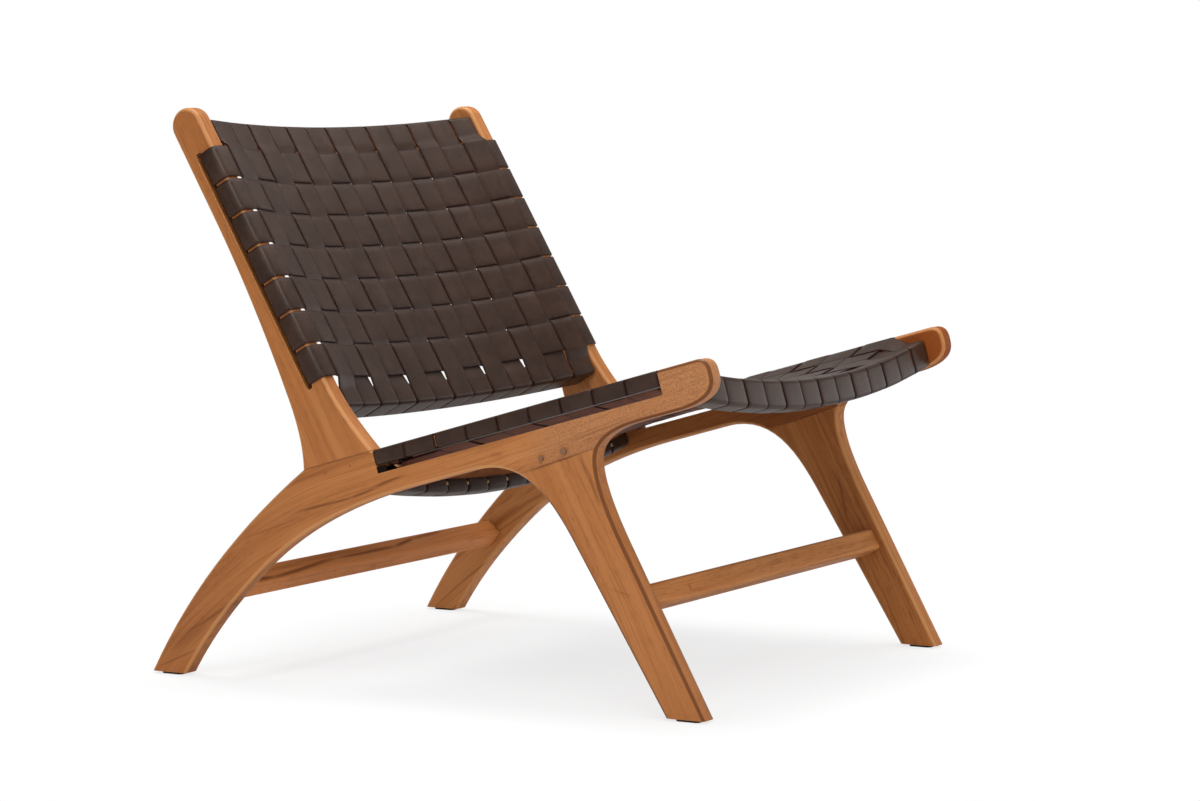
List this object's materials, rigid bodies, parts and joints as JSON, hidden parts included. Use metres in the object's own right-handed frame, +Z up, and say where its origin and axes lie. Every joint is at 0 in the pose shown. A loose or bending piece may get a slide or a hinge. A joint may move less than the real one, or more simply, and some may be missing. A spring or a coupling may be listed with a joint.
{
  "type": "woven leather strap lounge chair",
  "caption": "Low armless lounge chair: solid teak side frames tied by bars and stretchers, with a reclined seat and back woven from flat leather straps.",
  "frame": {"origin": "on the floor, under the centre of the bounding box of the standing chair", "axes": "+X to the left of someone sitting in the chair, +Y from the front of the seat to the rear, +Z up"},
  "size_m": [0.645, 0.7912, 0.6959],
  "materials": {
    "teak": "satin oiled",
    "leather": "semi-matte saddle leather",
    "glide": "matte"
  },
  "bodies": {
    "root": {"right_back_post": "teak", "right_seat_rail": "teak", "right_front_leg": "teak", "left_back_post": "teak", "left_seat_rail": "teak", "left_front_leg": "teak", "back_top_bar": "teak", "back_bottom_bar": "teak", "seat_front_bar": "teak", "seat_rear_bar": "teak", "front_stretcher": "teak", "rear_stretcher": "teak", "right_front_glide": "glide", "right_rear_glide": "glide", "left_front_glide": "glide", "left_rear_glide": "glide", "back_cross_strap_1": "leather", "back_cross_strap_2": "leather", "back_cross_strap_3": "leather", "back_cross_strap_4": "leather", "back_cross_strap_5": "leather", "back_cross_strap_6": "leather", "back_cross_strap_7": "leather", "back_upright_strap_1": "leather", "back_upright_strap_2": "leather", "back_upright_strap_3": "leather", "back_upright_strap_4": "leather", "back_upright_strap_5": "leather", "back_upright_strap_6": "leather", "back_upright_strap_7": "leather", "back_upright_strap_8": "leather", "back_upright_strap_9": "leather", "back_upright_strap_10": "leather", "back_upright_strap_11": "leather", "back_upright_strap_12": "leather", "back_upright_strap_13": "leather", "seat_cross_strap_1": "leather", "seat_cross_strap_2": "leather", "seat_cross_strap_3": "leather", "seat_cross_strap_4": "leather", "seat_cross_strap_5": "leather", "seat_cross_strap_6": "leather", "seat_cross_strap_7": "leather", "seat_cross_strap_8": "leather", "seat_cross_strap_9": "leather", "seat_long_strap_1": "leather", "seat_long_strap_2": "leather", "seat_long_strap_3": "leather", "seat_long_strap_4": "leather", "seat_long_strap_5": "leather", "seat_long_strap_6": "leather", "seat_long_strap_7": "leather", "seat_long_strap_8": "leather", "seat_long_strap_9": "leather", "seat_long_strap_10": "leather", "seat_long_strap_11": "leather", "seat_long_strap_12": "leather", "seat_long_strap_13": "leather"}
  },
  "joints": []
}
